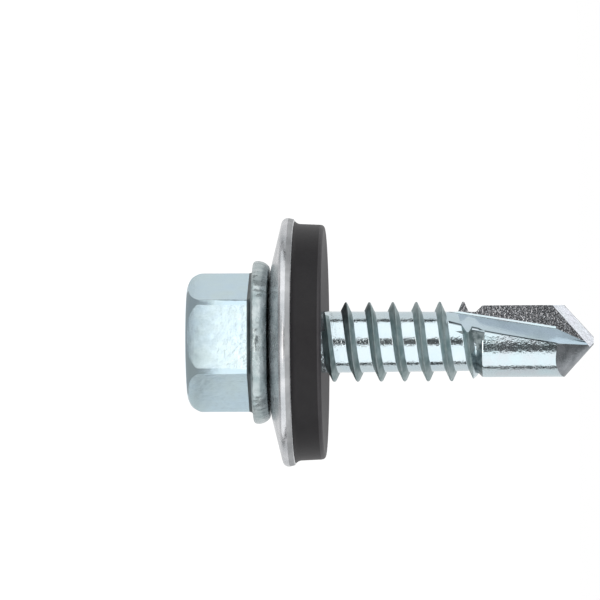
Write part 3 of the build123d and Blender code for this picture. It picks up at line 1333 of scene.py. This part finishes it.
# %% World
WORLD_GLOSS = 0.92
WORLD_LIGHT = 0.15
world = bpy.data.worlds.new("studio")
bpy.context.scene.world = world
world.use_nodes = True
tree = world.node_tree
background = tree.nodes["Background"]
background.inputs["Color"].default_value = (1, 1, 1, 1)
tree.links.new(seen_rays(tree, WORLD_GLOSS, WORLD_LIGHT), background.inputs["Strength"])

# %% [markdown]
# Two large softboxes stand to the left and right of the camera. A round shank shows each as a broad pale
# band, with a dark band between them, as in the photo. Their power is worked out from the brightness
# that a surface should see, so their size can change without changing the light.

# %% Softboxes
BOX_RADIANCE = 1.33
BOX_ANGLE = 49.5
BOX_DISTANCE = 300
BOX_WIDTH = 412
BOX_LENGTH = 640
BOX_HEIGHT = 90


def aim(angle):
    """Axes of a flat thing that stands round the screw and faces it. Angle 0 is the camera's side."""
    back = Vector((sin(angle), -cos(angle), 0))
    right = Vector((0, 0, 1)).cross(back)
    return back, Matrix((right, (0, 0, 1), back)).transposed().to_4x4()


def softbox(name, angle):
    """Area lamp that shows the screw the softboxes' brightness."""
    lamp = bpy.data.lights.new(name, "AREA")
    lamp.shape = "RECTANGLE"
    lamp.size = BOX_WIDTH * MM
    lamp.size_y = BOX_LENGTH * MM
    lamp.energy = BOX_RADIANCE * pi * BOX_WIDTH * BOX_LENGTH * MM * MM
    made = bpy.data.objects.new(name, lamp)
    bpy.context.scene.collection.objects.link(made)
    back, axes = aim(angle)
    place = back * BOX_DISTANCE + Vector((0, 0, BOX_HEIGHT))
    made.matrix_world = Matrix.Translation(place * MM) @ axes
    made.visible_camera = False
    print(name, "power in W:", round(lamp.energy, 3))


softbox("box_above", radians(-BOX_ANGLE))
softbox("box_below", radians(BOX_ANGLE))

# %% [markdown]
# Polished metal has no look of its own and only shows what stands around it. So cards are set up as a
# photographer would: dark ones draw the dark lines along the shank, pale ones on the floor fill the
# flats. Only gloss sees them, so they cast no light and no shadow.

# %% A card that only gloss sees
WHITE = (1, 1, 1, 1)
WARM = (1, 0.94, 0.90, 1)


def card_material(strength, colour):
    """Glow of a card. Cards of the same strength share it."""
    name = f"card_{int(100 * strength):03d}"
    material = bpy.data.materials.get(name)
    if material is None:
        material, tree = new_material(name, empty=True)
        out = tree.nodes.new("ShaderNodeOutputMaterial")
        glow = add_node(tree, "ShaderNodeEmission", Strength=strength, Color=colour)
        tree.links.new(glow.outputs["Emission"], out.inputs["Surface"])
    return material


def show_to_gloss_only(made, strength, colour=WHITE):
    made.data.materials.append(card_material(strength, colour))
    made.visible_camera = False
    made.visible_diffuse = False
    made.visible_shadow = False


# %% Three kinds of card
FLOOR_LIFT = 0.1


def standing_card(name, angle, distance, across, high, strength, low=FLOOR_LIFT):
    """Upright card that faces the screw, with its distance, width and two heights in millimetres."""
    bm = bmesh.new()
    bmesh.ops.create_grid(bm, x_segments=1, y_segments=1, size=0.5)
    bmesh.ops.scale(bm, vec=(across * MM, (high - low) * MM, 1), verts=bm.verts)
    back, axes = aim(angle)
    place = Matrix.Translation((back * distance + Vector((0, 0, (low + high) / 2))) * MM)
    bmesh.ops.transform(bm, matrix=place @ axes, verts=bm.verts)
    show_to_gloss_only(make_object(name, bm), strength)


def floor_card(name, middle, half, inner, outer, strength, height=0.05, colour=WHITE):
    """Sector of a ring that lies on the floor, half the angle to each side of its middle."""
    bm = bmesh.new()
    turn = Matrix.Rotation(middle - half - pi / 2, 3, "Z")
    ends = [bm.verts.new(turn @ Vector((reach, 0, height)) * MM) for reach in (inner, outer)]
    spoke = bm.edges.new(ends)
    spin(bm, ends + [spoke], 2 * half, 24)
    show_to_gloss_only(make_object(name, bm), strength, colour)


def ceiling_card(name, radius, height, strength):
    """Disc over the screw."""
    bm = bmesh.new()
    bmesh.ops.create_circle(bm, cap_ends=True, segments=48, radius=radius * MM)
    bmesh.ops.translate(bm, verts=bm.verts, vec=(0, 0, height * MM))
    show_to_gloss_only(make_object(name, bm), strength)


# %% [markdown]
# Now the cards take their places. Behind each softbox stands a dark one, because gloss looks through a
# lamp and adds what is behind it. A black strip on each side makes the two outer dark lines of the
# shank, and a low dark card in front makes the middle one. Above it stands one as bright as a softbox.

# %% Sizes and strengths of the cards
CARD_DARK = 0.08
CARD_BLACK = 0.02
BEHIND_BOX = 0.10
FRONT_HIGH = 110
CARD_TOP = 420
SIDE_TURN = 1.5
FOOT = 13
NEAR = 30
CLOSE = 34
MIDDLE = 110
FAR = 290
REACH = 300

# %% Put the cards in their places
standing_card("card_front", 0, 290, 125, FRONT_HIGH, CARD_DARK)
standing_card("card_front_high", 0, 290, 130, CARD_TOP, BOX_RADIANCE, low=FRONT_HIGH)
for side in (-1, 1):
    sideways = radians(90 * side + SIDE_TURN)
    standing_card(f"card_behind_box_{side + 2}", radians(BOX_ANGLE * side), 312, BOX_WIDTH, 410, BEHIND_BOX)
    standing_card(f"card_side_{side + 2}", sideways, 300, 72, CARD_TOP, CARD_BLACK)
    floor_card(f"floor_bright_{side + 2}", radians(52 * side), radians(38), FOOT, REACH, 1.4)
    floor_card(f"floor_side_{side + 2}", sideways, radians(5.5), FOOT, REACH, CARD_BLACK, 0.08)
floor_card("floor_close_dark", radians(-11), radians(11), FOOT, NEAR, 0.95, 0.09)
floor_card("floor_close", radians(7), radians(7), FOOT, CLOSE, 1.3)
floor_card("floor_front_near", 0, radians(16), NEAR, MIDDLE, 2.9, 0.07, WARM)
floor_card("floor_front_far", 0, radians(12.3), MIDDLE, FAR, CARD_DARK)
floor_card("floor_foot_front", 0, radians(60), 0.5, FOOT, 0.42)
floor_card("floor_foot_back", pi, radians(120), 0.5, FOOT, 0.75)
ceiling_card("card_ceiling", 260, 430, 0.35)

# %% [markdown]
# The photograph looks along +Y with the screw lying across the picture, so the camera is rolled until +Z
# points to the right. It stands level with a point just past the drill's tip, two thirds of a metre away,
# and looks back at the middle of the picture through a very long lens.

# %% Camera
# Pixels are those of the photograph: the head's top, the axis, and the column that the camera faces.
FRAME_PIXELS = 600
SCALE = 12.9
HEAD_PIXEL = 187.5
AXIS_PIXEL = 342.3
FACING_PIXEL = 640
FOCAL_PIXELS = 8300
ROLL = radians(0.32)
SENSOR = 36
distance = FOCAL_PIXELS / SCALE
target = Vector((-(AXIS_PIXEL - FRAME_PIXELS / 2), 0, FRAME_PIXELS / 2 - HEAD_PIXEL)) / SCALE
place = Vector((target.x, -distance, (FACING_PIXEL - HEAD_PIXEL) / SCALE))
forward = (target - place).normalized()
up = Matrix.Rotation(ROLL, 3, forward) @ Vector((-1, 0, 0))
right = forward.cross(up).normalized()
up = right.cross(forward)
camera_data = bpy.data.cameras.new("camera")
camera_data.sensor_width = SENSOR
camera_data.lens = FOCAL_PIXELS / FRAME_PIXELS * SENSOR
camera_data.clip_start = 0.01
camera_data.clip_end = 20
camera = bpy.data.objects.new("camera", camera_data)
bpy.context.scene.collection.objects.link(camera)
camera.matrix_world = Matrix.Translation(place * MM) @ Matrix((right, up, -forward)).transposed().to_4x4()
bpy.context.scene.camera = camera
bpy.context.scene.view_settings.view_transform = "Standard"
print("camera is", round(distance), "mm away, lens in mm:", round(camera_data.lens))
